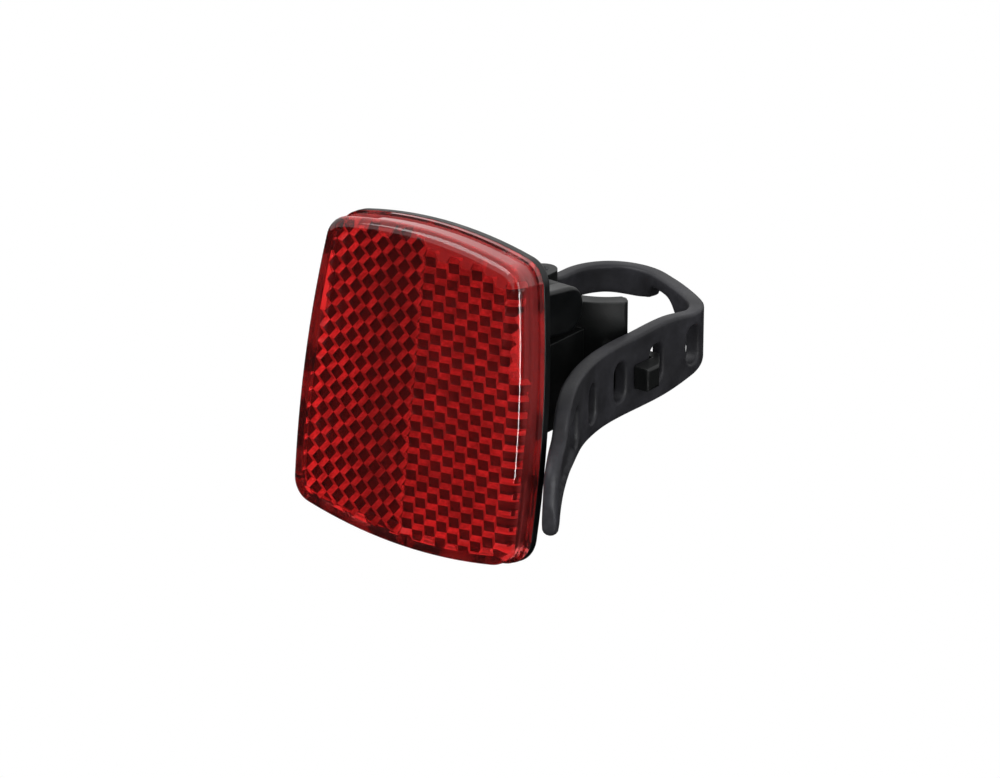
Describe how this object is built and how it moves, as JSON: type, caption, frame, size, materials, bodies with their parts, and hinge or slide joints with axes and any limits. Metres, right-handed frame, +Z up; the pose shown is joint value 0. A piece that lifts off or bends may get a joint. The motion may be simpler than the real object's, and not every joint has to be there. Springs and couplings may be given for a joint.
{
  "type": "bicycle rear reflector",
  "caption": "Red prismatic rear reflector in a black tray on a tilting arm, with a padded saddle and a hooked rubber strap that clamp it round a seatpost.",
  "frame": {"origin": "on the seatpost's axis, 1.8 mm below the mid height of the saddle pad", "axes": "+Z up along the seatpost, -Y to the rear of the bicycle, where the lens faces, +X on the side of the strap's hook"},
  "size_m": [0.0615, 0.0869, 0.062],
  "materials": {
    "red_lens": "clear moulded acrylic with prisms",
    "black_housing": "fine satin",
    "black_bracket": "fine satin",
    "pad_rubber": "matt",
    "strap_rubber": "soft satin",
    "zinc_steel": "bright zinc plate"
  },
  "bodies": {
    "bracket": {"bracket_base": "black_bracket", "saddle_pad": "pad_rubber", "strap": "strap_rubber", "anchor_pin": "zinc_steel"},
    "reflector_head": {"lens": "red_lens", "reflector_housing": "black_housing", "tilt_screw": "zinc_steel", "tilt_washer": "zinc_steel"}
  },
  "joints": [
    {"name": "tilt", "type": "hinge", "parent": "bracket", "child": "reflector_head", "pos_m": [0, -0.0232, 0.0138], "axis": [1, 0, 0], "range_deg": [-14, 1]}
  ]
}
